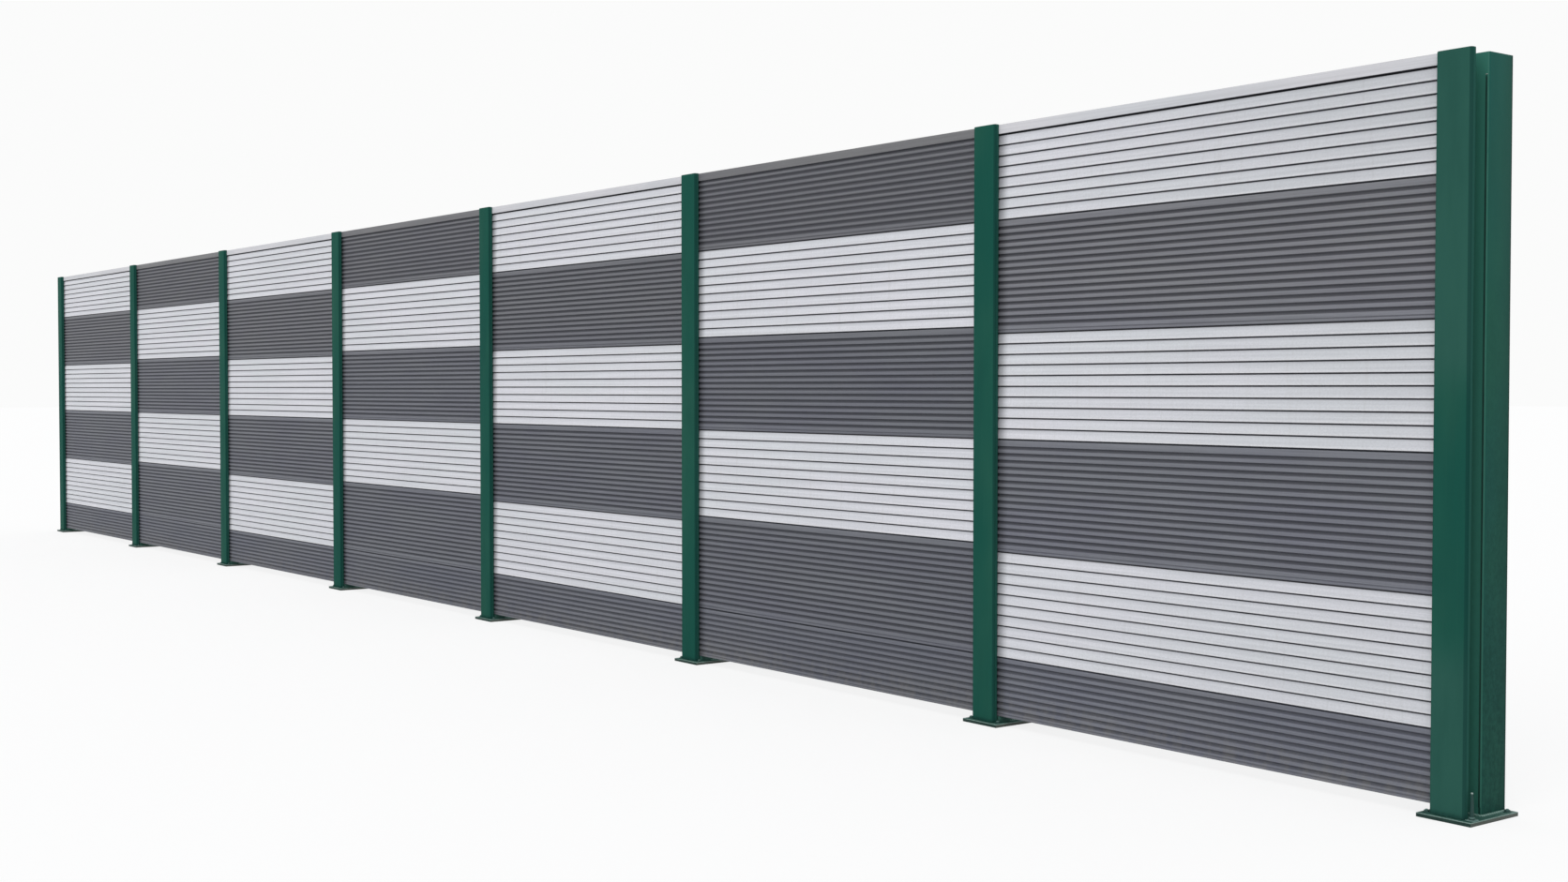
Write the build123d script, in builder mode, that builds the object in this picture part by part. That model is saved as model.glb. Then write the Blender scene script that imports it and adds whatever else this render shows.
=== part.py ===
"""Highway noise barrier: bays of stacked sound panels held between steel posts.

X runs along the wall, to the right for someone who faces it from the road.
The front faces -Y, towards the road, and Z is up. The origin is the centre of the
underside of the first post's base plate. All sizes are in millimetres.
"""
import os

from build123d import *

os.makedirs("parts", exist_ok=True)

# The wall
bay_count = 7
bay_pitch = 2500.0
sheet = 2.0                       # panel and coping sheet metal

# Posts: a box column at the back, with a web and a front flange that make the panel slots
column_width = 150.0
column_depth = 157.0
column_wall = 6.0
column_radius = 8.0
web_thickness = 10.0
flange_thickness = 10.0
post_below_coping = 5.0

# Post covers: folded channels over the front flanges, as wide as the columns
cover_sheet = 3.0
cover_return = 25.0
cover_bend = 7.0
cover_top_bevel = 2.0
cover_foot_gap = 2.0
cover_side_gap = 2.0              # between the flange's edge and the start of the bend
cover_above_coping = 2.0

# Base plates, each on four anchors
plate_thickness = 16.0
plate_overhang = 20.0             # in front of the cover and behind the column
anchor_hole_radius = 9.0
anchor_clearance = 17.0           # from the column's side to the middle of a hole
anchor_edge_x = 23.0              # from the middle of a hole to the plate's edges
anchor_edge_y = 35.0

# Panels
panel_depth = 80.0
panel_end_gap = 10.0              # between the end of a panel and the post's web
seat_height = 32.0                # lifts the lowest panel off the base plates
seat_depth = 70.0
seat_length = 70.0

# Light panels: slats that lean back from a lower lip, with a slot above each
slat_pitch = 50.0
slat_lean = 4.0
slot_height = 8.0
slot_depth = 14.0
light_slats = 10

# Dark panels: corrugated between a flat strip at the bottom and one at the top
rib_pitch = 32.25
rib_valley = 12.0
rib_crest = 16.5
rib_depth = 9.5
dark_ribs = 15
dark_bottom_strip = 40.0          # from the panel's edge to the middle of the first valley
dark_top_strip = 43.5

# The half-height panel at the foot
base_height = 285.0
base_ribs = 8
base_bottom_strip = 31.0
base_top_strip = 36.0

# The top row is cut short, and its rail sits in the coping
top_slats = 8
top_rail = 43.0
coping_clear = 1.0                # between the coping's edge and the top slat's slot
coping_stand_off = 2.0

# Joints between stacked panels
tongue_width = 20.0
tongue_height = 8.0
tongue_clearance = 1.0

# Rubber strips: wide ones press the panels back, and narrow ones seal them to the columns
press_strip_width = 40.0
press_strip_depth = 15.0
press_strip_inset = 5.0           # from the flange's edge
press_strip_clear = 1.0           # below the coping
seal_strip_width = 8.0
seal_strip_depth = 5.0
seal_strip_top_gap = 90.0         # below the top of the column

# Worked out from the sizes above
post_count = bay_count + 1
post_front_part = cover_sheet + flange_thickness + press_strip_depth
post_depth = post_front_part + panel_depth + seal_strip_depth + column_depth
post_front = -post_depth / 2
flange_front = post_front + cover_sheet
flange_back = flange_front + flange_thickness
flange_width = column_width - 2 * (cover_bend + cover_side_gap)
column_back = post_depth / 2
column_front = column_back - column_depth
panel_front = flange_back + press_strip_depth
panel_back = panel_front + panel_depth
panel_length = bay_pitch - web_thickness - 2 * panel_end_gap
panel_end = web_thickness / 2 + panel_end_gap
plate_top = plate_thickness
anchor_spacing_x = column_width + 2 * anchor_clearance
plate_width = anchor_spacing_x + 2 * anchor_edge_x
plate_depth = post_depth + 2 * plate_overhang
anchor_spacing_y = plate_depth - 2 * anchor_edge_y
light_height = light_slats * slat_pitch
dark_height = dark_bottom_strip + (dark_ribs - 1) * rib_pitch + dark_top_strip
top_height = top_slats * slat_pitch + top_rail
base_rib_pitch = (base_height - base_bottom_strip - base_top_strip) / (base_ribs - 1)
coping_leg = top_rail + sheet - coping_clear
coping_front = panel_front - coping_stand_off
coping_back = panel_back + sheet
top_ribs = int((top_height - coping_leg - dark_bottom_strip) // rib_pitch) + 1
wall_bottom = plate_top + seat_height
row_height = light_height + dark_height
coping_top = wall_bottom + base_height + 2 * row_height + top_height + sheet
coping_bottom = coping_top - coping_leg
post_top = coping_top - post_below_coping
cover_bottom = plate_top + cover_foot_gap
cover_top = coping_top + cover_above_coping


def slat_front(slats):
    """Front outline of a light panel, bottom to top, as (depth, height) from its lower lip."""
    points = []
    for index in range(slats):
        lip = index * slat_pitch
        points += [
            (0, lip),
            (slat_lean, lip + slat_pitch - slot_height),
            (slot_depth, lip + slat_pitch - slot_height / 2),
        ]
    return points


def rib_front(ribs, pitch, bottom_strip, height):
    """Front outline of a dark panel, bottom to top, with a recess under the next panel."""
    half_valley = rib_valley / 2
    half_open = (rib_pitch - rib_crest) / 2
    points = [(0, 0)]
    for index in range(ribs):
        middle = bottom_strip + index * pitch
        points += [
            (0, middle - half_open),
            (rib_depth, middle - half_valley),
            (rib_depth, middle + half_valley),
            (0, middle + half_open),
        ]
    points += [(0, height - slot_height), (slot_depth, height - slot_height), (slot_depth, height)]
    return points


def panel_outline(front, height, tongue, groove):
    """Whole outline of a panel's end: the front, then the top, back and underside."""
    middle = panel_depth / 2
    points = list(front)
    if tongue:
        points += [
            (middle - tongue_width / 2, height),
            (middle - tongue_width / 2, height + tongue_height),
            (middle + tongue_width / 2, height + tongue_height),
            (middle + tongue_width / 2, height),
        ]
    points += [(panel_depth, height), (panel_depth, 0)]
    if groove:
        half_groove = tongue_width / 2 + tongue_clearance
        groove_top = tongue_height + tongue_clearance
        points += [
            (middle + half_groove, 0),
            (middle + half_groove, groove_top),
            (middle - half_groove, groove_top),
            (middle - half_groove, 0),
        ]
    return points


def panel_sides(post_index):
    """The sides of a post that hold panels: -1 for the left, 1 for the right."""
    return [side for side in (-1, 1) if 0 <= post_index + min(side, 0) < bay_count]


def placed(outline, bottom):
    """The outline's points in the wall, for a panel whose underside is at this height."""
    return [(panel_front + depth, bottom + up) for depth, up in outline]


# Base plates, with a seat under each panel end
with BuildPart() as base_plates:
    for post_index in range(post_count):
        post_x = post_index * bay_pitch
        with Locations((post_x, 0, 0)):
            Box(
                plate_width,
                plate_depth,
                plate_thickness,
                align=(Align.CENTER, Align.CENTER, Align.MIN),
            )
        for side in panel_sides(post_index):
            seat_x = post_x + side * (panel_end + seat_length / 2)
            with Locations((seat_x, (panel_front + panel_back) / 2, plate_top)):
                Box(
                    seat_length,
                    seat_depth,
                    seat_height,
                    align=(Align.CENTER, Align.CENTER, Align.MIN),
                )
        with Locations((post_x, 0, plate_top)):
            with GridLocations(anchor_spacing_x, anchor_spacing_y, 2, 2):
                Hole(radius=anchor_hole_radius, depth=plate_thickness)
base_plates.part.label = "base_plates"
export_step(base_plates.part, "parts/base_plates.step")


# Posts and their covers
for post_index in range(post_count):
    post_x = post_index * bay_pitch

    with BuildPart() as post:
        with BuildSketch(Plane.XY.offset(plate_top)):
            with Locations((post_x, (column_front + column_back) / 2)):
                RectangleRounded(column_width, column_depth, column_radius)
            with Locations((post_x, (flange_back + column_front) / 2)):
                Rectangle(web_thickness, column_front - flange_back)
            with Locations((post_x, (flange_front + flange_back) / 2)):
                Rectangle(flange_width, flange_thickness)
        extrude(amount=post_top - plate_top)
        with BuildSketch(Plane.XY.offset(plate_top)):
            with Locations((post_x, (column_front + column_back) / 2)):
                Rectangle(column_width - 2 * column_wall, column_depth - 2 * column_wall)
        extrude(amount=post_top - plate_top - column_wall, mode=Mode.SUBTRACT)
    post.part.label = f"post_{post_index + 1}"
    export_step(post.part, f"parts/post_{post_index + 1}.step")

    with BuildPart() as post_cover:
        with BuildSketch(Plane.XY.offset(cover_bottom)) as cover_plan:
            with Locations((post_x, post_front + cover_return / 2)):
                Rectangle(column_width, cover_return)
            chamfer(cover_plan.vertices().group_by(Axis.Y)[0], cover_bend)
        extrude(amount=cover_top - cover_bottom)
        chamfer(post_cover.edges().group_by(Axis.Z)[-1].sort_by(Axis.Y)[:-1], cover_top_bevel)
        back_face = post_cover.faces().sort_by(Axis.Y)[-1]
        bottom_face = post_cover.faces().sort_by(Axis.Z)[0]
        offset(amount=-cover_sheet, openings=[back_face, bottom_face], kind=Kind.INTERSECTION)
    post_cover.part.label = f"post_cover_{post_index + 1}"
    export_step(post_cover.part, f"parts/post_cover_{post_index + 1}.step")


# Panels: odd bays start light at the top, even bays start dark
light_outline = panel_outline(slat_front(light_slats), light_height, True, True)
light_top_front = slat_front(top_slats) + [(0, top_slats * slat_pitch), (0, top_height)]
light_top_outline = panel_outline(light_top_front, top_height, False, True)
dark_front = rib_front(dark_ribs, rib_pitch, dark_bottom_strip, dark_height)
dark_outline = panel_outline(dark_front, dark_height, True, True)
dark_top_front = rib_front(top_ribs, rib_pitch, dark_bottom_strip, top_height)
dark_top_outline = panel_outline(dark_top_front, top_height, False, True)
base_front = rib_front(base_ribs, base_rib_pitch, base_bottom_strip, base_height)
base_outline = panel_outline(base_front, base_height, True, False)

for bay_index in range(bay_count):
    light_panels = []
    dark_panels = []
    bottom = wall_bottom + base_height
    light_next = bay_index % 2 == 0
    for row in range(4):
        if light_next:
            light_panels.append((light_outline, bottom))
            bottom += light_height
        else:
            dark_panels.append((dark_outline, bottom))
            bottom += dark_height
        light_next = not light_next
    if light_next:
        light_panels.append((light_top_outline, bottom))
    else:
        dark_panels.append((dark_top_outline, bottom))

    stacks = {
        "base_panel": [(base_outline, wall_bottom)],
        "light_panels": light_panels,
        "dark_panels": dark_panels,
    }
    for stack_name, stack in stacks.items():
        with BuildPart() as panels:
            for outline, panel_bottom in stack:
                with BuildSketch(Plane.YZ.offset(bay_index * bay_pitch + panel_end)):
                    with BuildLine():
                        Polyline(*placed(outline, panel_bottom), close=True)
                    make_face()
                extrude(amount=panel_length)
        panels.part.label = f"bay_{bay_index + 1}_{stack_name}"
        export_step(panels.part, f"parts/bay_{bay_index + 1}_{stack_name}.step")


# Folded copings over the top row, in the colour of each bay's top panel
coping_rows = {"light_copings": range(0, bay_count, 2), "dark_copings": range(1, bay_count, 2)}
for coping_name, bay_indices in coping_rows.items():
    with BuildPart() as copings:
        for bay_index in bay_indices:
            with BuildSketch(Plane.YZ.offset(bay_index * bay_pitch + panel_end)):
                with BuildLine():
                    Polyline(
                        (coping_front, coping_bottom),
                        (coping_front, coping_top),
                        (coping_back, coping_top),
                        (coping_back, coping_bottom),
                        (coping_back - sheet, coping_bottom),
                        (coping_back - sheet, coping_top - sheet),
                        (coping_front + sheet, coping_top - sheet),
                        (coping_front + sheet, coping_bottom),
                        close=True,
                    )
                make_face()
            extrude(amount=panel_length)
    copings.part.label = coping_name
    export_step(copings.part, f"parts/{coping_name}.step")


# Rubber strips on the front flanges, each with a panel end behind it
press_strip_x = flange_width / 2 - press_strip_inset - press_strip_width / 2
with BuildPart() as press_strips:
    for post_index in range(post_count):
        for side in panel_sides(post_index):
            strip_x = post_index * bay_pitch + side * press_strip_x
            with Locations((strip_x, flange_back, wall_bottom)):
                Box(
                    press_strip_width,
                    press_strip_depth,
                    coping_bottom - press_strip_clear - wall_bottom,
                    align=(Align.CENTER, Align.MIN, Align.MIN),
                )
press_strips.part.label = "press_strips"
export_step(press_strips.part, "parts/press_strips.step")


# Rubber strips down the column fronts, beside the corners, in the end posts' free slots too
seal_strip_x = column_width / 2 - column_radius - seal_strip_width / 2
with BuildPart() as seal_strips:
    for post_index in range(post_count):
        for side in (-1, 1):
            strip_x = post_index * bay_pitch + side * seal_strip_x
            with Locations((strip_x, column_front, wall_bottom)):
                Box(
                    seal_strip_width,
                    seal_strip_depth,
                    post_top - seal_strip_top_gap - wall_bottom,
                    align=(Align.CENTER, Align.MAX, Align.MIN),
                )
seal_strips.part.label = "seal_strips"
export_step(seal_strips.part, "parts/seal_strips.step")
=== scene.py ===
"""The look of a highway noise barrier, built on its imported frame. All lengths are in metres."""
from math import radians

import bmesh
import bpy
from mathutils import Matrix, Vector


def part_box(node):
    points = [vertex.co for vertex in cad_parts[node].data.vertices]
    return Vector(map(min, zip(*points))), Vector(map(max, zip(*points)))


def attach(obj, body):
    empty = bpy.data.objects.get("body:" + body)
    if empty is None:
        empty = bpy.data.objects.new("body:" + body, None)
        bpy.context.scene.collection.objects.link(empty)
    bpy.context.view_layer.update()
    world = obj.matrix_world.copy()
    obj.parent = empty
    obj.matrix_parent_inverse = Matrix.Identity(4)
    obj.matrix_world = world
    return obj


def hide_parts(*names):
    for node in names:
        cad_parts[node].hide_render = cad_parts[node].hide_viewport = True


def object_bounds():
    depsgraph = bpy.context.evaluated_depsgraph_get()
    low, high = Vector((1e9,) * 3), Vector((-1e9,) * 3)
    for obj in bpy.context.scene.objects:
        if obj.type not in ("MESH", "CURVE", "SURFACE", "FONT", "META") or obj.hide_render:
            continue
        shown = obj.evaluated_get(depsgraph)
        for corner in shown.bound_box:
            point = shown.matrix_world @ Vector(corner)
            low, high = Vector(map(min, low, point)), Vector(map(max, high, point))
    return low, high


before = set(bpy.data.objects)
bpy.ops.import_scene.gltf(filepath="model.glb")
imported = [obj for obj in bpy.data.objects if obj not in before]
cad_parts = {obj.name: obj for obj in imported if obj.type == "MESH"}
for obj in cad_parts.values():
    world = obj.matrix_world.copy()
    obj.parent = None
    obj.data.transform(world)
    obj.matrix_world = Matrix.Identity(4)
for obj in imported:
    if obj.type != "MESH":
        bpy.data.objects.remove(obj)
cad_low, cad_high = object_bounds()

MM = 0.001
NEAR = 0.01 * MM  # how close to a place a corner counts as being at it

# ---------------------------------------------------------------- places read from the frame
post_count = sum(name.startswith("post_cover_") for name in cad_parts)
bay_count = post_count - 1


def post_x(index):
    """The middle of a post, counted from 1 at the left end."""
    low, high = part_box(f"post_cover_{index}")
    return (low.x + high.x) / 2


post_low, post_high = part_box("post_1")
cover_low, cover_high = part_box("post_cover_1")
plates_low, plates_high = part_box("base_plates")
press_low, press_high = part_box("press_strips")
seal_low, seal_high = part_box("seal_strips")
base_low, base_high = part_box("bay_1_base_panel")
coping_low, coping_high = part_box("light_copings")

bay_pitch = post_x(2) - post_x(1)
last_post = post_x(post_count)
last_bay = post_x(bay_count)
column_width = post_high.x - post_low.x
column_front = seal_high.y
column_back = post_high.y
flange_front = post_low.y
flange_back = press_low.y
plate_top = post_low.z
panel_front = base_low.y
panel_back = base_high.y
panel_depth = panel_back - panel_front

# ---------------------------------------------------------------- sizes of the made parts
half_column = column_width / 2
column_round = 8 * MM
web_thickness = 10 * MM
flange_width = 132 * MM
cover_sheet = 3 * MM
cover_bend = 14 * MM
cover_rim = 4 * MM
plate_width = 230 * MM
seat_size = 70 * MM
weld = 6 * MM

anchor_x = 92 * MM
anchor_y = 120 * MM
washer_radius = 14 * MM
washer_top = 2.5 * MM
nut_radius = 10 * MM
nut_top = 9 * MM
stud_radius = 5.5 * MM
stud_top = 12 * MM
# The tall anchor stands a little off the corner of its pattern.
tall_shift_x = -1.5 * MM
tall_shift_y = 9 * MM
tall_foot_radius = 8.5 * MM
tall_tip_radius = 4.5 * MM
tall_length = 100 * MM
wide_washer_radius = 24 * MM
wide_washer_top = 4 * MM
collar_radius = 11.5 * MM
collar_top = 13 * MM
tall_top = wide_washer_top + tall_length

seal_width = 4.5 * MM
seal_outer = half_column - column_round
seal_middle = seal_outer - seal_width / 2
press_width = 40 * MM
press_middle = flange_width / 2 - 25 * MM
clip_depth = 4 * MM
clip_height = 4 * MM
clip_gap = 5 * MM
clip_overhang = 1.5 * MM

full_rows = 4
slat_pitch = 50 * MM
light_slats = 10
top_slats = 8
rib_pitch = 32.25 * MM
rib_open = 17.25 * MM
top_rib_open = 23 * MM
dark_ribs = 15
dark_bottom_strip = 40 * MM
dark_top_strip = 43.5 * MM
base_ribs = 8
base_bottom_strip = 31 * MM
base_top_strip = 36 * MM
tongue = 8 * MM
half_tongue = 10 * MM
groove = 9 * MM
half_groove = 11 * MM
slot_height = 8 * MM
slot_depth = 14 * MM
lip_thickness = 0.9 * MM
slat_top = 46.2 * MM
rib_depth = 9.5 * MM
seam_depth = 3.4 * MM
sheet = 2 * MM
coping_leg = coping_high.z - coping_low.z
top_rail = coping_leg - sheet + 1 * MM
panel_length = base_high.x - base_low.x

light_height = light_slats * slat_pitch
dark_height = dark_bottom_strip + (dark_ribs - 1) * rib_pitch + dark_top_strip
top_height = top_slats * slat_pitch + top_rail
base_height = base_high.z - base_low.z - tongue
base_rib_pitch = (base_height - base_bottom_strip - base_top_strip) / (base_ribs - 1)
top_ribs = int((top_height - coping_leg - dark_bottom_strip) // rib_pitch) + 1


# ---------------------------------------------------------------- modelling
def draw_out(made, step):
    """Extrude every face of a bmesh by the vector step."""
    drawn = bmesh.ops.extrude_face_region(made, geom=made.faces[:])
    far = [item for item in drawn["geom"] if isinstance(item, bmesh.types.BMVert)]
    bmesh.ops.translate(made, verts=far, vec=step)


def bar(outline, axis, start, end, segments=3):
    """A bmesh of an outline of (u, v, rounding) corners drawn out along X or Z."""
    made = bmesh.new()
    corners = []
    for u, v, _ in outline:
        corners.append(made.verts.new((start, u, v) if axis == "X" else (u, v, start)))
    made.faces.new(corners)
    for rounding in sorted({corner[2] for corner in outline} - {0}, reverse=True):
        group = [vert for vert, corner in zip(corners, outline) if corner[2] == rounding]
        bmesh.ops.bevel(
            made,
            geom=group,
            offset=rounding,
            segments=segments,
            profile=0.5,
            affect="VERTICES",
            material=-1,
        )
    length = end - start
    draw_out(made, (length, 0, 0) if axis == "X" else (0, 0, length))
    return made


def rectangle(half_width, front, back, rounding):
    """The outline of an upright bar about X 0, from its front to its back."""
    return [
        (-half_width, front, rounding),
        (half_width, front, rounding),
        (half_width, back, rounding),
        (-half_width, back, rounding),
    ]


def at_height(height):
    """A test of edges: both ends are at the height or above it."""
    return lambda edge: all(vert.co.z > height - NEAR for vert in edge.verts)


def round_edges(made, amount, chosen, segments=2):
    """Bevel the edges of a bmesh that pass the test chosen."""
    edges = [edge for edge in made.edges if chosen(edge)]
    bmesh.ops.bevel(
        made,
        geom=edges,
        offset=amount,
        segments=segments,
        profile=0.5,
        affect="EDGES",
        material=-1,
        clamp_overlap=True,
    )


def cuboid(low, high):
    """A sharp box between two corners."""
    made = bmesh.new()
    bmesh.ops.create_cube(made, size=1)
    size = Vector(high) - Vector(low)
    middle = (Vector(high) + Vector(low)) / 2
    bmesh.ops.scale(made, vec=size, verts=made.verts[:])
    bmesh.ops.translate(made, vec=middle, verts=made.verts[:])
    return made


def block(low, high, rounding):
    """A box between two corners with every edge rounded."""
    made = cuboid(low, high)
    round_edges(made, rounding, lambda edge: True)
    return made


def drum(radius, start, end, sides, rounding):
    """A short upright drum or prism with its upper edge rounded."""
    made = bmesh.new()
    bmesh.ops.create_circle(made, cap_ends=True, segments=sides, radius=radius)
    bmesh.ops.translate(made, vec=(0, 0, start), verts=made.verts[:])
    draw_out(made, (0, 0, end - start))
    made.normal_update()
    round_edges(made, rounding, at_height(end))
    return made


def put(piece, part, offset=(0, 0, 0)):
    """Add a copy of the bmesh part to the bmesh piece, moved by offset."""
    carrier = bpy.data.meshes.new("carrier")
    part.to_mesh(carrier)
    first = len(piece.verts)
    piece.from_mesh(carrier)
    piece.verts.ensure_lookup_table()
    bmesh.ops.translate(piece, verts=piece.verts[first:], vec=Vector(offset))
    bpy.data.meshes.remove(carrier)


def copy_at(part, x):
    """A new bmesh like part, moved along the wall."""
    made = bmesh.new()
    put(made, part, (x, 0, 0))
    return made


def show(name, data):
    """Put a mesh, lamp or camera into the scene as an object."""
    thing = bpy.data.objects.new(name, data)
    bpy.context.scene.collection.objects.link(thing)
    return thing


def mesh_of(name, made, material):
    """Turn a bmesh into a mesh that wears the material."""
    mesh = bpy.data.meshes.new(name)
    made.to_mesh(mesh)
    made.free()
    mesh.materials.append(material)
    return mesh


def finished(name, made, material, nodes=(), sharp=40):
    """Make the bmesh a piece of the wall that rides on its body and wears the material."""
    bmesh.ops.recalc_face_normals(made, faces=made.faces[:])
    mesh = mesh_of(name, made, material)
    mesh.shade_smooth()
    mesh.set_sharp_from_angle(angle=radians(sharp))
    piece = show(name, mesh)
    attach(piece, "root")
    if nodes:
        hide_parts(*nodes)


# ---------------------------------------------------------------- shader toolkit
class Socket:
    """An output of a shader node that can be used in sums."""

    def __init__(self, finish, output):
        self.finish = finish
        self.output = output

    def sum(self, operation, first, second):
        """The result of a piece of arithmetic on two sockets or numbers."""
        return self.finish.add("Math", {"operation": operation}, {0: first, 1: second})

    def __add__(self, other):
        return self.sum("ADD", self, other)

    def __radd__(self, other):
        return self.sum("ADD", other, self)

    def __sub__(self, other):
        return self.sum("SUBTRACT", self, other)

    def __rsub__(self, other):
        return self.sum("SUBTRACT", other, self)

    def __mul__(self, other):
        return self.sum("MULTIPLY", self, other)

    def __rmul__(self, other):
        return self.sum("MULTIPLY", other, self)

    def __mod__(self, other):
        return self.sum("FLOORED_MODULO", self, other)

    def __abs__(self):
        return self.sum("ABSOLUTE", self, 0)

    def also(self, name):
        """Another output of the same node."""
        return Socket(self.finish, self.output.node.outputs[name])


class Finish:
    """The nodes of a material or of the sky, put together one by one."""

    def __init__(self, owner):
        owner.use_nodes = True
        self.owner = owner
        self.tree = owner.node_tree
        self.tree.nodes.clear()

    def add(self, kind, settings, inputs, output=0):
        """Add a node: its settings first, then the values or links of its sockets."""
        node = self.tree.nodes.new("ShaderNode" + kind)
        for name, value in settings.items():
            setattr(node, name, value)
        for key, value in inputs.items():
            if isinstance(value, Socket):
                self.tree.links.new(value.output, node.inputs[key])
            else:
                node.inputs[key].default_value = value
        return Socket(self, node.outputs[output]) if len(node.outputs) else None


class Coating(Finish):
    """A material whose patterns are laid out in the wall's own lengths."""

    def __init__(self, name):
        super().__init__(bpy.data.materials.new(name))
        self.place = self.add("TexCoord", {}, {}, "Object")
        self.x = self.add("SeparateXYZ", {}, {0: self.place}, "X")
        self.y = self.x.also("Y")
        self.z = self.x.also("Z")

    def ramp(self, value, start, end):
        """0 where value is at start, 1 where it is at end, eased between."""
        settings = {"interpolation_type": "SMOOTHSTEP", "clamp": True}
        return self.add("MapRange", settings, {0: value, 1: start, 2: end, 3: 0, 4: 1})

    def larger(self, first, second):
        """The larger of two sockets or numbers."""
        return self.add("Math", {"operation": "MAXIMUM"}, {0: first, 1: second})

    def noise(self, stretch, scale, detail=4, roughness=0.55):
        """Noise about 0.5 that is stretched along the axes."""
        drawn = self.add("Mapping", {}, {"Vector": self.place, "Scale": stretch})
        values = {"Vector": drawn, "Scale": scale, "Detail": detail, "Roughness": roughness}
        return self.add("TexNoise", {}, values)

    def grain(self, scale, detail=4, roughness=0.55):
        """Noise about 0.5 that is the same along every axis."""
        return self.noise((1, 1, 1), scale, detail, roughness)

    def blend(self, amount, first, second):
        """Colours mixed by amount."""
        settings = {"data_type": "RGBA", "clamp_factor": True}
        return self.add("Mix", settings, {0: amount, 6: first, 7: second}, 2)

    def surface(self, colour, roughness, height, depth, specular, metallic=0.0):
        """Finish the material with its colour, roughness and relief."""
        bump = self.add("Bump", {}, {"Strength": 1, "Distance": depth, "Height": height})
        values = {
            "Base Color": colour,
            "Roughness": roughness,
            "Normal": bump,
            "Metallic": metallic,
            "Specular IOR Level": specular,
        }
        shader = self.add("BsdfPrincipled", {}, values)
        self.add("OutputMaterial", {}, {"Surface": shader})
        return self.owner


def paint(red, green, blue):
    """An opaque colour."""
    return (red, green, blue, 1)


# ---------------------------------------------------------------- places in the patterns
def beside_post(f):
    """How far a point is to the right of the middle of its post."""
    return (f.x + bay_pitch / 2) % bay_pitch - bay_pitch / 2


def across_post(f):
    """How far a point is from the middle of its post, to either side."""
    return abs(beside_post(f))


def on_front(f):
    """1 on the panels' fronts, slots and valleys included, and 0 behind them."""
    return 1 - f.ramp(f.y - panel_front, slot_depth + 1 * MM, slot_depth + 4 * MM)


def post_shadow(f, coloured):
    """Darken a panel towards its left end, beside the post, with the post's painted shadow."""
    from_post = f.x % bay_pitch
    in_post_shadow = 1 - f.ramp(from_post, cover_high.x + 2 * MM, cover_high.x + 72 * MM)
    return f.blend(in_post_shadow * on_front(f) * 0.55, coloured, paint(0.012, 0.013, 0.015))


# ---------------------------------------------------------------- materials
def light_coating():
    """Light grey coating on rolled aluminium, with painted shade and soot in the slots.

    The last bay dims towards its right end, and most of all near its top.
    """
    f = Coating("light_coating")
    depth = f.y - panel_front
    front = on_front(f)
    # Painted shade and soot: the slots darken with depth.
    slot_shade_and_soot = f.ramp(depth, 4.8 * MM, 8.5 * MM) * front
    # Painted shadow of the coping on the slats just beneath it.
    coping_shadow = f.ramp(f.z, coping_low.z - 10 * MM, coping_low.z - 7 * MM) * front
    # Painted shade on each slat's upper part, under the lip above.
    under_lip_shade = f.ramp(depth, 1.5 * MM, 4.5 * MM) * front
    right_end = f.ramp(f.x, last_bay - 200 * MM, last_post + 100 * MM)
    end_shade = right_end * (0.45 + 0.55 * f.ramp(f.z, 1.2, 2.8))
    # Painted highlight along each slat's lower lip.
    lip = 1 - f.ramp(depth, 0.1 * MM, 0.9 * MM)
    rolled = f.noise((2.2, 1, 240), 2, 5, 0.6)
    drawn = f.noise((0.5, 1, 38), 2, 3, 0.6)
    drift = f.noise((0.5, 1, 2.2), 1.6, 2)
    runs = f.noise((26, 1, 0.9), 2.4, 4)
    specks = f.grain(420, 2)
    embossed = f.noise((1, 1, 1.4), 105, 3, 0.6)
    tone = f.ramp(drift, 0.35, 0.65)
    clean = f.blend(tone, paint(0.695, 0.71, 0.745), paint(0.735, 0.73, 0.78))
    brushed = f.blend(f.ramp(drawn, 0.38, 0.66) * 0.42, clean, paint(0.54, 0.55, 0.59))
    dusty = f.blend(f.ramp(runs, 0.52, 0.80) * 0.26, brushed, paint(0.50, 0.49, 0.47))
    streaked = f.blend(f.ramp(rolled, 0.30, 0.75) * 0.26, dusty, paint(0.46, 0.47, 0.50))
    dimmed = f.blend(end_shade * 0.50, streaked, paint(0.38, 0.395, 0.41))
    shaded = f.blend(under_lip_shade * 0.40, dimmed, paint(0.36, 0.37, 0.40))
    lip_highlighted = f.blend(lip * 0.55, shaded, paint(0.74, 0.74, 0.76))
    grained = f.blend(f.ramp(embossed, 0.38, 0.66) * 0.16, lip_highlighted, paint(0.36, 0.37, 0.39))
    speckled = f.blend(f.ramp(specks, 0.62, 0.72) * 0.12, grained, paint(0.34, 0.33, 0.32))
    sooted_and_shaded = f.blend(slot_shade_and_soot * 0.92, speckled, paint(0.056, 0.054, 0.062))
    colour = post_shadow(f, f.blend(coping_shadow, sooted_and_shaded, paint(0.018, 0.018, 0.023)))
    roughness = 0.38 + 0.14 * rolled + 0.08 * drawn + 0.3 * slot_shade_and_soot + 0.08 * runs
    height = rolled * 0.3 + drawn * 0.2 + embossed * 0.4 + specks * 0.1
    return f.surface(colour, roughness, height, 0.35 * MM, 0.3)


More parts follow.
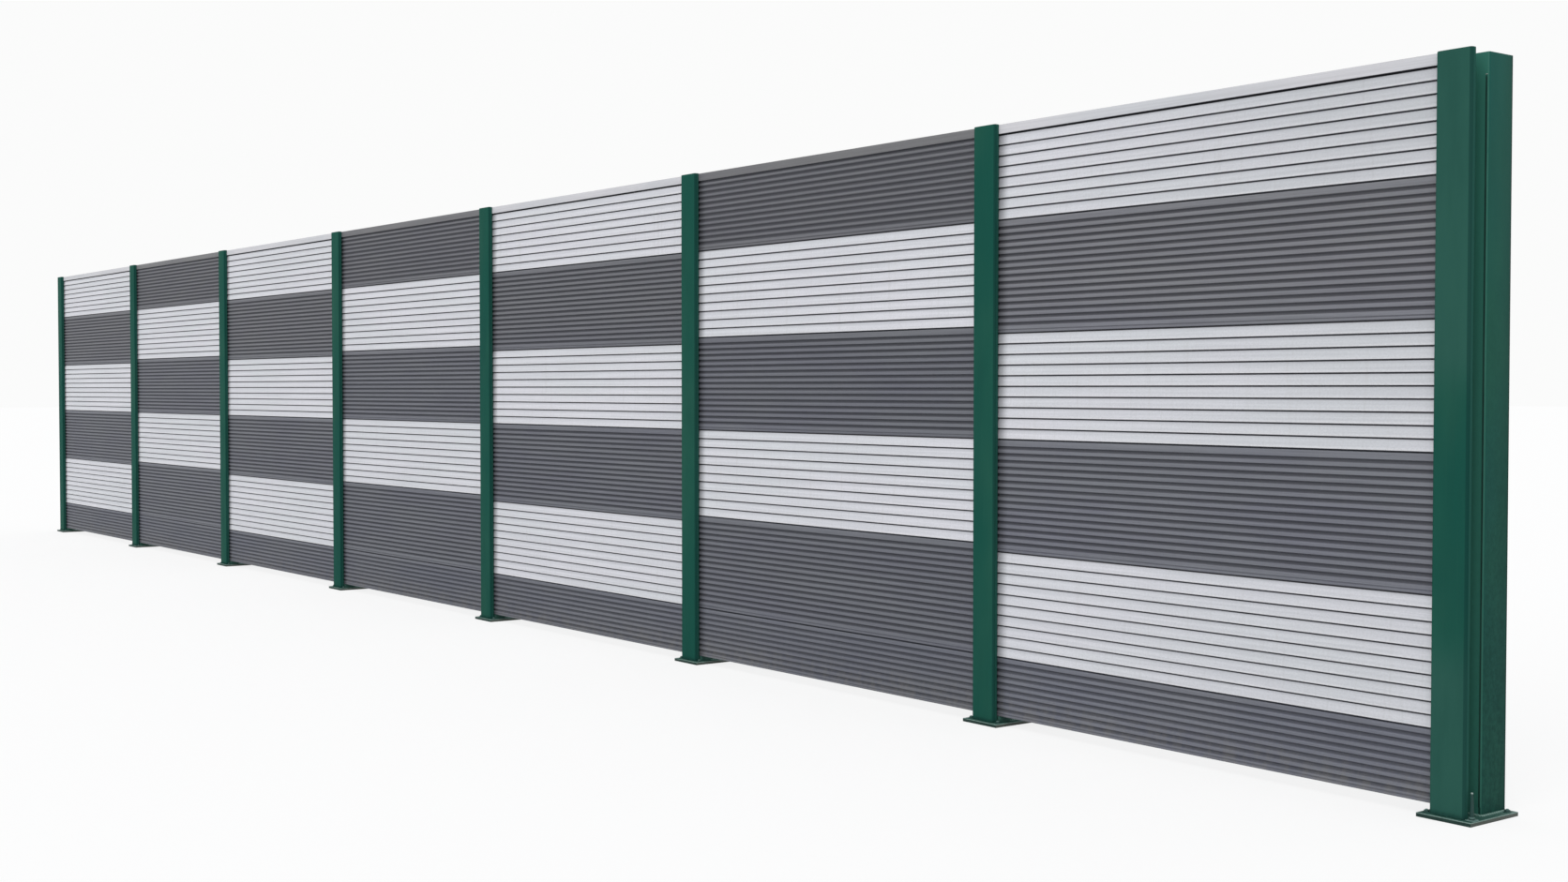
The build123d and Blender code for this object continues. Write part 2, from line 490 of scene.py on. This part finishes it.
def dark_coating(name, low_tint, high_tint, splash_top, valley_shade_and_soot):
    """Dark grey coating, worn pale on the crests and with painted shade and soot in the valleys.

    The upper panels are plainer, and the lower ones and the older bays are duller.
    """
    f = Coating(name)
    depth = f.y - panel_front
    # Painted shade and soot: the valleys darken with depth.
    valley = f.ramp(depth, 1.5 * MM, 9 * MM) * on_front(f)
    crest = 1 - f.ramp(depth, 0.1 * MM, 1.6 * MM)
    rolled = f.noise((1.8, 1, 200), 2, 5, 0.6)
    drawn = f.noise((0.4, 1, 34), 2, 3, 0.6)
    drift = f.noise((0.6, 1, 2.6), 1.7, 3)
    runs = f.noise((30, 1, 0.8), 2.2, 4)
    specks = f.grain(380, 2)
    clean = f.blend(f.ramp(drift, 0.35, 0.65), low_tint, high_tint)
    plainer = f.blend(f.ramp(f.z, 1.7, 2.1) * 0.6, clean, paint(0.172, 0.169, 0.172))
    brushed = f.blend(f.ramp(drawn, 0.36, 0.66) * 0.40, plainer, paint(0.116, 0.119, 0.140))
    worn = f.blend(crest * 0.45 * f.ramp(rolled, 0.25, 0.8), brushed, paint(0.278, 0.288, 0.320))
    dusty = f.blend(f.ramp(runs, 0.5, 0.8) * 0.14, worn, paint(0.240, 0.242, 0.252))
    speckled = f.blend(f.ramp(specks, 0.62, 0.74) * 0.16, dusty, paint(0.10, 0.10, 0.10))
    older = 1 - f.ramp(f.x, last_bay - 20 * MM, last_bay + 20 * MM)
    lower = 1 - f.ramp(f.z, 1.4, 1.9)
    dulled = f.blend(f.larger(older * 0.29, lower * 0.13), speckled, paint(0.044, 0.048, 0.060))
    sooted_and_shaded = f.blend(valley * valley_shade_and_soot, dulled, paint(0.044, 0.045, 0.055))
    splash = (1 - f.ramp(f.z, 0.03, splash_top)) * f.ramp(f.noise((6, 1, 3), 5, 5), 0.35, 0.7)
    colour = post_shadow(f, f.blend(splash * 0.35, sooted_and_shaded, paint(0.21, 0.20, 0.18)))
    roughness = 0.44 + 0.16 * rolled + 0.06 * drawn + 0.22 * valley + 0.1 * splash
    height = rolled * 0.5 + drawn * 0.3 + specks * 0.2
    return f.surface(colour, roughness, height, 0.25 * MM, 0.3)


def coping_coating(name, low_tint, high_tint, streak_tint):
    """Grey coating on a folded strip, paler where dust lies on its top."""
    f = Coating(name)
    rolled = f.noise((2.0, 1, 260), 2, 5, 0.6)
    drawn = f.noise((0.5, 1, 60), 2, 3, 0.6)
    drift = f.noise((0.7, 1, 1), 1.4, 3)
    specks = f.grain(400, 2)
    top = f.ramp(f.z, coping_high.z - 2.5 * MM, coping_high.z - 0.4 * MM)
    foot = 1 - f.ramp(f.z, coping_low.z, coping_low.z + 2 * MM)
    clean = f.blend(f.ramp(drift, 0.35, 0.65), low_tint, high_tint)
    brushed = f.blend(f.ramp(drawn, 0.35, 0.7) * 0.30, clean, streak_tint)
    streaked = f.blend(f.ramp(rolled, 0.3, 0.8) * 0.25, brushed, streak_tint)
    dust = top * (0.25 + 0.5 * f.noise((3, 12, 1), 6, 5))
    dusty = f.blend(dust, streaked, paint(0.52, 0.51, 0.48))
    speckled = f.blend(f.ramp(specks, 0.62, 0.74) * 0.12, dusty, paint(0.2, 0.2, 0.2))
    colour = f.blend(foot * 0.5, speckled, paint(0.10, 0.10, 0.11))
    roughness = 0.40 + 0.2 * rolled + 0.2 * top
    height = rolled * 0.6 + drawn * 0.2 + specks * 0.2
    return f.surface(colour, roughness, height, 0.25 * MM, 0.3)


def green_paint(name, blue, leaf, outer_y, highlight_and_wear, foot_top, last_cover_paling, sheen):
    """Green powder coat: orange peel, tone drift, a painted highlight with wear on outer corners.

    The last cover is paler above and below its middle, the slots carry painted light, and
    the paint darkens towards the bottom. The covers' right-hand returns and the columns' rear
    edges carry painted shade, and the joints below the seal strips are dark.
    """
    f = Coating(name)
    drift = f.noise((1.2, 1.2, 0.5), 1.9, 3)
    patch = f.noise((5, 5, 0.9), 2.2, 4)
    peel = f.grain(330, 3)
    scuffs = f.noise((1, 1, 0.8), 55, 6, 0.75)
    runs = f.noise((60, 60, 1.2), 2, 4)
    clean = f.blend(f.ramp(drift, 0.32, 0.68), blue, leaf)
    # The last cover is paler above and below its middle.
    at_last_post = f.ramp(f.x, last_bay, last_post - column_width)
    paling = at_last_post * f.ramp(abs(f.z - 1.13), 0.40, 0.64) * last_cover_paling
    paled_end = f.blend(paling, clean, paint(0.027, 0.098, 0.077))
    mottled = f.blend(f.ramp(patch, 0.40, 0.75) * 0.30, paled_end, paint(0.012, 0.060, 0.048))
    faded = f.blend(f.ramp(runs, 0.52, 0.8) * 0.12, mottled, paint(0.034, 0.108, 0.084))
    behind_flange = f.ramp(f.y, flange_back - 2 * MM, flange_back)
    before_column = 1 - f.ramp(f.y, column_front, column_front + 3 * MM)
    sheltered = behind_flange * before_column
    # Painted light: the slot between flange and column is lighter.
    slot_lightened = f.blend(sheltered * 0.9, faded, paint(0.038, 0.160, 0.122))
    outside = f.ramp(across_post(f), half_column - 9 * MM, half_column - 4 * MM)
    # Painted highlight with wear: the outer corners of the fronts are lighter.
    corner = outside * (1 - f.ramp(abs(f.y - outer_y), 1 * MM, 4 * MM))
    worn = corner * f.ramp(scuffs, 0.30, 0.60) * highlight_and_wear
    rubbed_and_highlighted = f.blend(worn, slot_lightened, paint(0.060, 0.165, 0.128))
    # Painted shade on the covers' right-hand returns.
    lee = f.ramp(beside_post(f), half_column - 15 * MM, half_column - 10 * MM)
    turned = f.ramp(f.y, cover_low.y + 0.1 * MM, cover_low.y + 1.5 * MM)
    side_of_cover = turned * (1 - f.ramp(f.y, cover_high.y, cover_high.y + 1 * MM))
    shaded = f.blend(side_of_cover * lee * 0.62, rubbed_and_highlighted, paint(0.006, 0.034, 0.030))
    # Painted shade towards the columns' rear edges.
    rear_side = f.ramp(f.y, column_back - 80 * MM, column_back - 8 * MM) * outside
    rear_corner = f.ramp(f.y, column_back - 20 * MM, column_back - 9 * MM) * outside
    rear = f.larger(rear_side * 0.22, rear_corner * 0.9)
    rear_shaded = f.blend(rear, shaded, paint(0.006, 0.028, 0.023))
    # Darker towards the bottom, up to foot_top.
    foot = (1 - f.ramp(f.z, 0.02, foot_top)) * (0.5 + 0.5 * f.ramp(scuffs, 0.35, 0.65))
    darkened_low = f.blend(foot * (0.80 - 0.65 * sheltered), rear_shaded, paint(0.010, 0.040, 0.034))
    below_strip = 1 - f.ramp(f.z, seal_low.z - 1 * MM, seal_low.z + 1 * MM)
    joint = 1 - f.ramp(abs(across_post(f) - seal_middle), 3 * MM, 5 * MM)
    from_column = f.y - column_front
    face = f.ramp(from_column, -4 * MM, -2 * MM) * (1 - f.ramp(from_column, 1 * MM, 2 * MM))
    jointed = joint * below_strip * face
    colour = f.blend(jointed * 0.8, darkened_low, paint(0.004, 0.014, 0.012))
    roughness = 0.38 + 0.14 * patch + 0.18 * foot + 0.08 * scuffs
    return f.surface(colour, roughness, peel * 0.6 + scuffs * 0.4, 0.25 * MM, sheen)


def plate_paint():
    """Green paint on the thick plates: gritty on top, with a painted highlight and wear along the
    upper edges.

    The sides carry painted shade, and the right-hand one is muddy.
    """
    f = Coating("plate_paint")
    half_plate = plate_width / 2
    grit = f.grain(150, 5, 0.7)
    patch = f.grain(14, 4)
    peel = f.grain(320, 2)
    top = f.ramp(f.z, plate_top - 3.2 * MM, plate_top - 1.2 * MM)
    rim_x = f.ramp(across_post(f), half_plate - 7 * MM, half_plate - 1.5 * MM)
    rim_y = f.ramp(abs(f.y), plates_high.y - 7 * MM, plates_high.y - 1.5 * MM)
    rim = f.larger(rim_x, rim_y) * top
    tone = f.ramp(patch, 0.35, 0.65)
    clean = f.blend(tone, paint(0.022, 0.075, 0.060), paint(0.046, 0.122, 0.098))
    gritty = f.blend(f.ramp(grit, 0.48, 0.7) * 0.35, clean, paint(0.090, 0.165, 0.135))
    # Painted shade on the sides.
    sides = f.blend((1 - top) * 0.85, gritty, paint(0.009, 0.024, 0.020))
    right_side = f.ramp(beside_post(f), half_plate - 1.2 * MM, half_plate - 0.6 * MM)
    mud = right_side * (1 - top) * (0.55 + 0.35 * patch)
    muddy = f.blend(mud, sides, paint(0.098, 0.108, 0.094))
    # Painted highlight with wear along the upper edges.
    rubbed_and_highlighted = rim * (0.45 + 0.55 * f.ramp(grit, 0.35, 0.6))
    colour = f.blend(rubbed_and_highlighted, muddy, paint(0.235, 0.330, 0.300))
    roughness = 0.42 + 0.3 * grit
    return f.surface(colour, roughness, grit * 0.7 + peel * 0.3, 0.5 * MM, 0.15)


def anchor_paint(name, highlight_and_wear):
    """Overpainted anchors with painted highlights: zinc at the tall tip, worn washer rims and nut
    tops.
    """
    f = Coating(name)
    grit = f.grain(260, 4, 0.6)
    wave = {"Vector": f.place, "Scale": 160, "Distortion": 0}
    thread = f.add("TexWave", {"bands_direction": "Z"}, wave)
    up = f.z - plate_top
    # Painted highlight with zinc showing at the tall stud's tip.
    tip = f.ramp(up, tall_top - 7 * MM, tall_top - 3 * MM)
    # Painted highlights with wear on the washers' rims and the nut tops.
    rings = f.ramp(up, 1 * MM, 2.2 * MM) * (1 - f.ramp(up, 4.2 * MM, 5 * MM))
    crown = f.ramp(up, nut_top - 1 * MM, nut_top) * (1 - f.ramp(up, 12 * MM, 14 * MM))
    bare_zinc_and_tip_highlight = f.larger(tip, f.ramp(grit, 0.60, 0.70) * 0.12)
    clean = f.blend(grit, paint(0.008, 0.034, 0.030), paint(0.022, 0.068, 0.060))
    rubbed_and_highlighted = f.blend(f.larger(rings * highlight_and_wear, crown * 0.6), clean, paint(0.170, 0.285, 0.260))
    colour = f.blend(bare_zinc_and_tip_highlight, rubbed_and_highlighted, paint(0.34, 0.42, 0.40))
    roughness = 0.38 + 0.25 * grit
    return f.surface(colour, roughness, thread * 0.7 + grit * 0.3, 0.5 * MM, 0.2, bare_zinc_and_tip_highlight * 0.5)


def weld_paint():
    """Painted weld: overlapping ripples, in a lighter green than the posts as a painted
    highlight.
    """
    f = Coating("weld_paint")
    wave = {"Vector": f.place, "Scale": 46, "Distortion": 3, "Detail": 2, "Detail Scale": 3}
    along = f.add("TexWave", {"bands_direction": "DIAGONAL"}, wave)
    grit = f.grain(240, 4, 0.6)
    clean = f.blend(along, paint(0.070, 0.160, 0.135), paint(0.200, 0.320, 0.280))
    colour = f.blend(f.ramp(grit, 0.5, 0.7) * 0.4, clean, paint(0.040, 0.100, 0.084))
    return f.surface(colour, 0.34 + 0.25 * grit, along * 0.8 + grit * 0.2, 1.2 * MM, 0.3)


def rubber():
    """Matt black rubber with a bloom of dust and paint mist."""
    f = Coating("rubber")
    fine = f.grain(300, 4)
    bloom = f.noise((2, 2, 0.6), 9, 4)
    dusted = f.ramp(bloom, 0.40, 0.75) * 0.5
    colour = f.blend(dusted, paint(0.006, 0.021, 0.017), paint(0.016, 0.050, 0.038))
    return f.surface(colour, 0.7 + 0.2 * fine, fine, 0.3 * MM, 0.1)


def zinc():
    """Dull zinc plating on the little clips that hold the seal strips."""
    f = Coating("zinc")
    spangle = f.grain(420, 3)
    colour = f.blend(spangle, paint(0.16, 0.24, 0.21), paint(0.30, 0.38, 0.34))
    return f.surface(colour, 0.4 + 0.2 * spangle, spangle, 0.1 * MM, 0.4, 0.3)


# ---------------------------------------------------------------- panel outlines
def slat_front(slats):
    """Front of a light panel, bottom to top: slats that lean back to a slot under each lip."""
    points = []
    for index in range(slats):
        lip = index * slat_pitch
        points += [
            (0, lip, 0.7 * MM),
            (1.2 * MM, lip + 18 * MM, 0),
            (3.0 * MM, lip + 35 * MM, 0),
            (5.2 * MM, lip + 42.6 * MM, 1.6 * MM),
            (slot_depth, lip + slat_top, 1 * MM),
            (slot_depth, lip + slat_pitch - lip_thickness, 0.4 * MM),
        ]
    return points


def rib_front(ribs, pitch, bottom_strip, height, opening=rib_open):
    """Front of a dark panel, bottom to top: a seam in the foot strip, then sloping valleys."""
    points = [
        (1 * MM, 0, 1 * MM),
        (0.4 * MM, 9 * MM, 0.8 * MM),
        (seam_depth, 11 * MM, 0.8 * MM),
        (seam_depth, 13.5 * MM, 0.8 * MM),
        (0, 15.5 * MM, 0.8 * MM),
    ]
    for index in range(ribs):
        middle = bottom_strip + index * pitch
        points += [
            (0, middle - opening / 2, 2.2 * MM),
            (7 * MM, middle - 5.5 * MM, 1.8 * MM),
            (rib_depth, middle + 5.8 * MM, 1 * MM),
            (0, middle + opening / 2, 1.2 * MM),
        ]
    points += [
        (0, height - slot_height, 1.5 * MM),
        (slot_depth, height - slot_height + 1 * MM, 1 * MM),
        (slot_depth, height, 0),
    ]
    return points


def panel(front, height, has_tongue=True, has_groove=True):
    """A whole panel whose underside is at height 0 and whose end is at X 0."""
    middle = panel_depth / 2
    outline = list(front)
    if has_tongue:
        outline += [
            (middle - half_tongue, height, 0),
            (middle - half_tongue, height + tongue, 1 * MM),
            (middle + half_tongue, height + tongue, 1 * MM),
            (middle + half_tongue, height, 0),
        ]
    outline += [(panel_depth, height, 2 * MM), (panel_depth, 0, 2 * MM)]
    if has_groove:
        outline += [
            (middle + half_groove, 0, 0),
            (middle + half_groove, groove, 0),
            (middle - half_groove, groove, 0),
            (middle - half_groove, 0, 0),
        ]
    placed = [(panel_front + depth, up, rounding) for depth, up, rounding in outline]
    return bar(placed, "X", 0, panel_length)


# ---------------------------------------------------------------- finishes
light_grey = light_coating()
dark_grey = dark_coating(
    "dark_coating",
    low_tint=paint(0.150, 0.154, 0.190),
    high_tint=paint(0.172, 0.180, 0.203),
    splash_top=40 * MM,
    valley_shade_and_soot=0.78,
)
base_grey = dark_coating(
    "base_coating",
    low_tint=paint(0.143, 0.151, 0.191),
    high_tint=paint(0.168, 0.175, 0.202),
    splash_top=220 * MM,
    valley_shade_and_soot=0.64,
)
light_strip = coping_coating(
    "light_coping_coating",
    low_tint=paint(0.60, 0.61, 0.64),
    high_tint=paint(0.66, 0.65, 0.68),
    streak_tint=paint(0.40, 0.40, 0.42),
)
dark_strip = coping_coating(
    "dark_coping_coating",
    low_tint=paint(0.120, 0.120, 0.132),
    high_tint=paint(0.150, 0.150, 0.155),
    streak_tint=paint(0.21, 0.21, 0.22),
)
post_green = green_paint(
    "post_paint",
    blue=paint(0.013, 0.085, 0.069),
    leaf=paint(0.017, 0.096, 0.066),
    outer_y=column_front,
    highlight_and_wear=0.4,
    foot_top=2.8,
    last_cover_paling=0,
    sheen=0.04,
)
cover_green = green_paint(
    "cover_paint",
    blue=paint(0.010, 0.077, 0.058),
    leaf=paint(0.019, 0.092, 0.066),
    outer_y=cover_low.y,
    highlight_and_wear=0.15,
    foot_top=0.04,
    last_cover_paling=0.95,
    sheen=0.01,
)
plate_green = plate_paint()
anchor_green = anchor_paint("anchor_paint", highlight_and_wear=0.1)
long_anchor_green = anchor_paint("long_anchor_paint", highlight_and_wear=0.8)
weld_green = weld_paint()
black_rubber = rubber()
dull_zinc = zinc()

# ---------------------------------------------------------------- panels
light_part = panel(slat_front(light_slats), light_height)
dark_front = rib_front(dark_ribs, rib_pitch, dark_bottom_strip, dark_height)
dark_part = panel(dark_front, dark_height)
base_front = rib_front(base_ribs, base_rib_pitch, base_bottom_strip, base_height)
base_part = panel(base_front, base_height, has_groove=False)
light_top_front = slat_front(top_slats) + [
    (0.5 * MM, top_slats * slat_pitch, 0.4 * MM),
    (0.5 * MM, top_height, 1 * MM),
]
light_top_part = panel(light_top_front, top_height, has_tongue=False)
dark_top_front = rib_front(top_ribs, rib_pitch, dark_bottom_strip, top_height, top_rib_open)
dark_top_part = panel(dark_top_front, top_height, has_tongue=False)


def bay_start(bay):
    """Where the panels of a bay begin."""
    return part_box(f"bay_{bay}_base_panel")[0].x


for bay in range(1, bay_count + 1):
    end_x = bay_start(bay)
    light_rows = bmesh.new()
    dark_rows = bmesh.new()
    base_row = bmesh.new()
    put(base_row, base_part, (end_x, 0, base_low.z))
    bottom = base_low.z + base_height
    light_next = bay % 2 == 1
    for _ in range(full_rows):
        if light_next:
            put(light_rows, light_part, (end_x, 0, bottom))
            bottom += light_height
        else:
            put(dark_rows, dark_part, (end_x, 0, bottom))
            bottom += dark_height
        light_next = not light_next
    if light_next:
        put(light_rows, light_top_part, (end_x, 0, bottom))
    else:
        put(dark_rows, dark_top_part, (end_x, 0, bottom))
    for look, rows, finish, slot, node in (
        ("light_slats", light_rows, light_grey, "light_panel", "light_panels"),
        ("dark_ribs", dark_rows, dark_grey, "dark_panel", "dark_panels"),
        ("base_ribs", base_row, base_grey, "base_panel", "base_panel"),
    ):
        finished(f"bay_{bay}_{look}", rows, finish, [f"bay_{bay}_{node}"], sharp=30)

# ---------------------------------------------------------------- copings
cut_edge = 0.3 * MM
outer_bend = 3 * MM
inner_bend = 1 * MM
coping_outline = [
    (coping_low.y, coping_low.z, cut_edge),
    (coping_low.y, coping_high.z, outer_bend),
    (coping_high.y, coping_high.z, outer_bend),
    (coping_high.y, coping_low.z, cut_edge),
    (coping_high.y - sheet, coping_low.z, cut_edge),
    (coping_high.y - sheet, coping_high.z - sheet, inner_bend),
    (coping_low.y + sheet, coping_high.z - sheet, inner_bend),
    (coping_low.y + sheet, coping_low.z, cut_edge),
]
coping_part = bar(coping_outline, "X", 0, panel_length)
for tone, finish, first in (("light", light_strip, 1), ("dark", dark_strip, 2)):
    strips = bmesh.new()
    for bay in range(first, bay_count + 1, 2):
        put(strips, coping_part, (bay_start(bay), 0, 0))
    finished(f"{tone}_folded_copings", strips, finish, [f"{tone}_copings"])

# ---------------------------------------------------------------- posts
column_outline = rectangle(half_column, column_front, column_back, column_round)
column = bar(column_outline, "Z", plate_top, post_high.z, segments=6)
round_edges(column, 2 * MM, at_height(post_high.z))
web_outline = rectangle(web_thickness / 2, flange_back - 1 * MM, column_front + 1 * MM, 0)
web = bar(web_outline, "Z", plate_top, post_high.z)
round_edges(web, 1 * MM, at_height(post_high.z))
flange_outline = rectangle(flange_width / 2, flange_front, flange_back, 1.5 * MM)
flange = bar(flange_outline, "Z", plate_top, post_high.z)
steel = bmesh.new()
for part in (column, web, flange):
    put(steel, part)

half_cover = (cover_high.x - cover_low.x) / 2
cover = cuboid(
    (-half_cover, cover_low.y, cover_low.z), (half_cover, cover_high.y, cover_high.z)
)


def front_bend(edge):
    """A test of edges: an upright edge at the cover's front."""
    first, second = (vert.co for vert in edge.verts)
    return max(first.y, second.y) < cover_low.y + NEAR and abs(first.z - second.z) > 1


def top_bend(edge):
    """A test of edges: an edge of the cover's top that is folded, not cut."""
    return at_height(cover_high.z)(edge) and not edge.is_boundary


round_edges(cover, cover_bend, front_bend, segments=6)
opened = [face for face in cover.faces if face.normal.y > 0.9 or face.normal.z < -0.9]
bmesh.ops.delete(cover, geom=opened, context="FACES")
round_edges(cover, cover_rim, top_bend, segments=4)
bmesh.ops.solidify(cover, geom=cover.faces[:], thickness=cover_sheet)

weld_low = plate_top - 1 * MM
weld_high = plate_top + weld
bead = weld + 0.5 * MM
bead_outline = rectangle(
    half_column + bead, column_front - bead, column_back + bead, column_round + bead
)
foot_weld = bar(bead_outline, "Z", weld_low, weld_high, segments=6)
round_edges(foot_weld, 5 * MM, at_height(weld_high), segments=3)
web_weld_outline = rectangle(
    web_thickness / 2 + weld, flange_back - 4 * MM, column_front + 4 * MM, 2 * MM
)
web_weld = bar(web_weld_outline, "Z", weld_low, weld_high)
round_edges(web_weld, 4 * MM, at_height(weld_high), segments=3)

# ---------------------------------------------------------------- anchors
washer = drum(washer_radius, 0, washer_top, 24, 0.8 * MM)
nut = drum(nut_radius, washer_top, nut_top, 6, 1.5 * MM)
stud = drum(stud_radius, 0, stud_top, 16, 1.5 * MM)

tall_stud = bmesh.new()
bmesh.ops.create_cone(
    tall_stud,
    cap_ends=True,
    segments=24,
    radius1=tall_foot_radius,
    radius2=tall_tip_radius,
    depth=tall_length,
)
tall_middle = wide_washer_top + tall_length / 2
bmesh.ops.translate(tall_stud, vec=(0, 0, tall_middle), verts=tall_stud.verts[:])
round_edges(tall_stud, 3.5 * MM, at_height(tall_top), segments=4)
put(tall_stud, drum(collar_radius, wide_washer_top, collar_top, 6, 1.6 * MM))
wide_washer = drum(wide_washer_radius, 0, wide_washer_top, 32, 1.2 * MM)
dish = [face for face in wide_washer.faces if face.normal.z > 0.9 and len(face.verts) > 8]
bmesh.ops.inset_region(wide_washer, faces=dish, thickness=4 * MM, depth=-1.5 * MM)


# ---------------------------------------------------------------- along the posts
def bay_sides(index):
    """The sides of a post that hold a bay: -1 for its left and 1 for its right."""
    return [side for side in (-1, 1) if 1 <= index + side <= post_count]


plates = bmesh.new()
welds = bmesh.new()
anchors = bmesh.new()
long_anchor = bmesh.new()
seat_middle = bay_start(1) - post_x(1) + seat_size / 2
seat_front = (panel_front + panel_back - seat_size) / 2
seat_back = (panel_front + panel_back + seat_size) / 2
for index in range(1, post_count + 1):
    x = post_x(index)
    post = copy_at(steel, x)
    finished(f"post_{index}_steel", post, post_green, [f"post_{index}"])
    folded = copy_at(cover, x)
    node = f"post_cover_{index}"
    finished(f"post_{index}_folded_cover", folded, cover_green, [node])
    low = (x - plate_width / 2, plates_low.y, 0)
    high = (x + plate_width / 2, plates_high.y, plate_top)
    put(plates, block(low, high, 1.6 * MM))
    for side in bay_sides(index):
        seat_x = x + side * seat_middle
        low = (seat_x - seat_size / 2, seat_front, plate_top)
        high = (seat_x + seat_size / 2, seat_back, base_low.z)
        put(plates, block(low, high, 1.5 * MM))
    put(welds, foot_weld, (x, 0, 0))
    put(welds, web_weld, (x, 0, 0))
    for side_x in (-1, 1):
        for side_y in (-1, 1):
            place = Vector((x + side_x * anchor_x, side_y * anchor_y, plate_top))
            if (index, side_x, side_y) == (post_count, 1, -1):
                place += Vector((tall_shift_x, tall_shift_y, 0))
                put(long_anchor, wide_washer, place)
                put(long_anchor, tall_stud, place)
                continue
            for part in (washer, nut, stud):
                put(anchors, part, place)
finished("foot_plates", plates, plate_green, ["base_plates"])
finished("foot_welds", welds, weld_green, sharp=50)
finished("anchors", anchors, anchor_green, sharp=35)
finished("long_anchor", long_anchor, long_anchor_green, sharp=35)

# ---------------------------------------------------------------- rubber strips
press = bmesh.new()
seals = bmesh.new()
clips = bmesh.new()
for index in range(1, post_count + 1):
    x = post_x(index)
    for side in (-1, 1):
        left, right = sorted((x + side * (seal_outer - seal_width), x + side * seal_outer))
        low = (left, seal_low.y, seal_low.z)
        high = (right, seal_high.y, seal_high.z)
        put(seals, block(low, high, 1.8 * MM))
        clip_foot = seal_high.z + clip_gap
        low = (left - clip_overhang, seal_high.y - clip_depth, clip_foot)
        high = (right + clip_overhang, seal_high.y, clip_foot + clip_height)
        put(clips, block(low, high, 0.8 * MM))
    for side in bay_sides(index):
        strip_x = x + side * press_middle
        low = (strip_x - press_width / 2, press_low.y, press_low.z)
        high = (strip_x + press_width / 2, press_high.y, press_high.z)
        put(press, block(low, high, 2 * MM))
finished("press_strip_bars", press, black_rubber, ["press_strips"])
finished("seal_strip_bars", seals, black_rubber, ["seal_strips"])
finished("seal_clips", clips, dull_zinc)

# ---------------------------------------------------------------- floor
floor_reach = 150
floor_gap = 0.5 * MM
middle = (cad_low + cad_high) / 2
ground = bmesh.new()
bmesh.ops.create_grid(ground, x_segments=1, y_segments=1, size=floor_reach)
bmesh.ops.translate(ground, vec=(middle.x, middle.y, -floor_gap), verts=ground.verts[:])
floor_finish = Finish(bpy.data.materials.new("floor"))
seen = floor_finish.add("LightPath", {}, {}, "Is Camera Ray")
mirrored = seen.also("Is Glossy Ray")
matt = floor_finish.add("BsdfDiffuse", {}, {"Color": paint(0.92, 0.92, 0.92), "Roughness": 0})
glow = floor_finish.add("Emission", {}, {"Color": paint(1, 1, 1), "Strength": 1.017})
share = (seen + mirrored) * 0.78
pale = floor_finish.add("MixShader", {}, {0: share, 1: matt, 2: glow})
floor_finish.add("OutputMaterial", {}, {"Surface": pale})
floor = show("floor", mesh_of("floor", ground, floor_finish.owner))

# ---------------------------------------------------------------- light
world = bpy.data.worlds.new("studio")
bpy.context.scene.world = world
sky = Finish(world)
path = sky.add("LightPath", {}, {}, "Is Camera Ray")
plain = path + path.also("Is Glossy Ray") + path.also("Is Transmission Ray")
soft = sky.add("Background", {}, {"Color": paint(0.97, 0.985, 1.0), "Strength": 0.62})
white = sky.add("Background", {}, {"Color": paint(0.965, 0.967, 0.965), "Strength": 1})
mixed = sky.add("MixShader", {}, {0: plain, 1: soft, 2: white})
sky.add("OutputWorld", {}, {"Surface": mixed})


def sun(name, towards, strength, angle):
    """A broad soft lamp that shines from the given direction."""
    light = bpy.data.lights.new(name, "SUN")
    light.energy = strength
    light.angle = radians(angle)
    lamp = show(name, light)
    lamp.rotation_euler = Vector(towards).to_track_quat("Z", "Y").to_euler()


sun("key", (0.45, -0.75, 0.75), 1.35, 50)
sun("fill", (-0.6, 0.6, 0.6), 0.35, 90)

# ---------------------------------------------------------------- camera
lens = bpy.data.cameras.new("camera")
lens.sensor_width = 36
lens.lens = 42.7
lens.clip_end = 500
camera = show("camera", lens)
# Eye level, beyond the last post and in front of the wall.
camera.location = (21.488, -6.223, 1.604)
downward = 1.614
leftward = 52.932
camera.rotation_euler = (radians(90 - downward), 0, radians(leftward))
bpy.context.scene.camera = camera
bpy.context.scene.view_settings.view_transform = "Standard"
